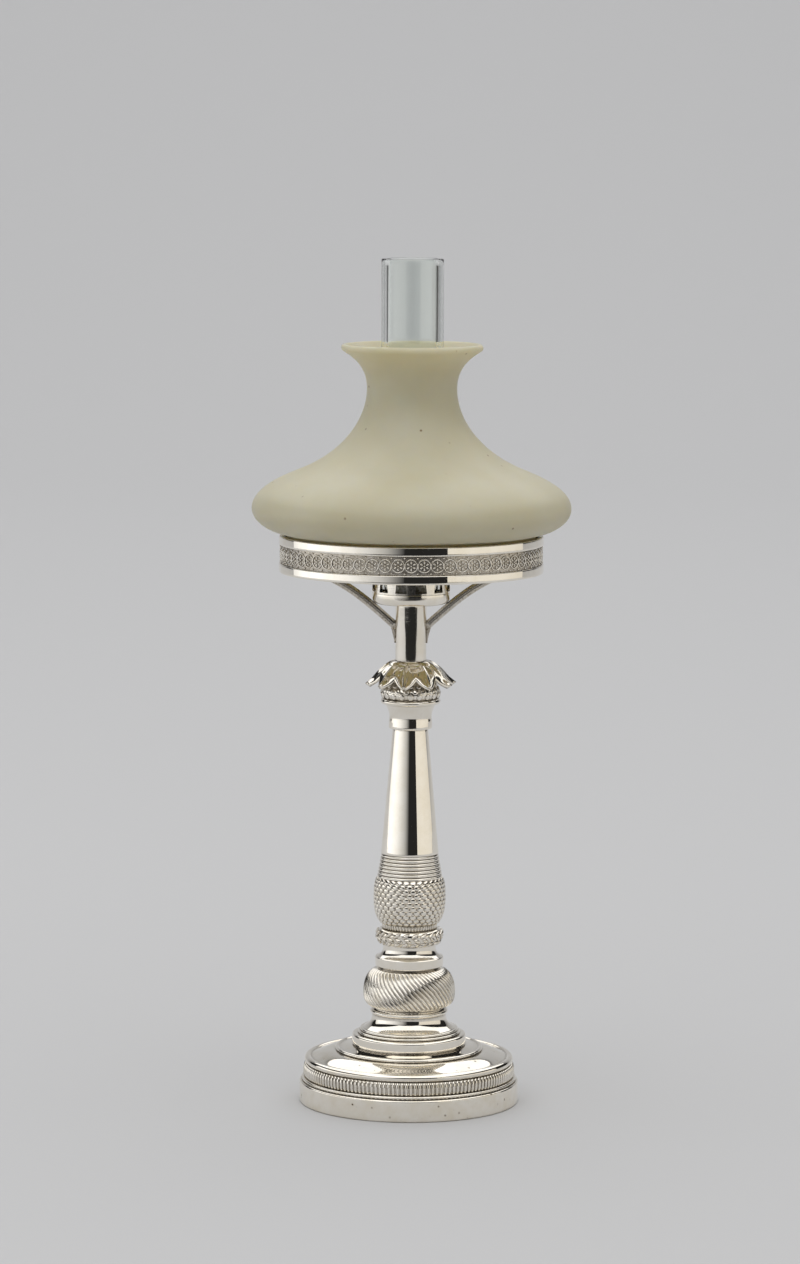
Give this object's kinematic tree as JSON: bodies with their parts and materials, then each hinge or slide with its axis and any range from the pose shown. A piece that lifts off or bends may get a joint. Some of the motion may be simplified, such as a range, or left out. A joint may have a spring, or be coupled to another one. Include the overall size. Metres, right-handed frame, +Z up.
{
  "type": "miniature standing lamp",
  "caption": "Miniature standing oil lamp: turned silver stem on a round foot, ring on curved arms holding a frosted glass shade, clear glass chimney in a pierced burner cup.",
  "frame": {"origin": "centre of the foot's underside, on the axis of the stem", "axes": "+Z up the stem, +X towards the right-hand arm, +Y away from the viewer of the picture"},
  "size_m": [0.0452, 0.0452, 0.12],
  "materials": {
    "silver": "polished silver, hand worn",
    "ornament_silver": "milled and chased silver, tarnished brown in its recesses",
    "inner_silver": "dull file-finished silver wire and nuts",
    "frosted_glass": "cream opal glass with a satin outside",
    "clear_glass": "clear drawn glass tube"
  },
  "bodies": {
    "stand": {"foot_band": "silver", "foot_wire": "ornament_silver", "foot_milled_ring": "ornament_silver", "foot_dome": "silver", "foot_flange": "silver", "foot_tier": "silver", "foot_beads": "silver", "foot_neck": "silver", "swirl_knop": "ornament_silver", "collar_disc": "silver", "spool_neck": "silver", "laurel_ring": "ornament_silver", "milled_ring": "ornament_silver", "scale_knop": "ornament_silver", "reeded_collar": "silver", "column_shaft": "silver", "capital_collar": "silver", "calyx_bulb": "ornament_silver", "calyx_leaves": "ornament_silver", "upper_column": "silver", "burner_cup": "ornament_silver", "burner_crown": "ornament_silver", "burner_tube": "inner_silver", "tie_rod": "inner_silver", "tie_washer": "inner_silver", "foot_nut": "inner_silver", "burner_nut": "inner_silver", "arm_left": "silver", "arm_right": "silver", "ring_band": "silver", "ring_frieze": "ornament_silver", "ring_top_rim": "silver", "ring_bottom_rim": "silver", "ring_seat": "silver"},
    "shade": {"shade": "frosted_glass"},
    "chimney": {"chimney": "clear_glass"}
  },
  "joints": [
    {"name": "shade_lift", "type": "slide", "parent": "stand", "child": "shade", "axis": [0, 0, 1], "range_m": [0, 0.045]},
    {"name": "chimney_lift", "type": "slide", "parent": "stand", "child": "chimney", "axis": [0, 0, 1], "range_m": [0, 0.05]}
  ]
}
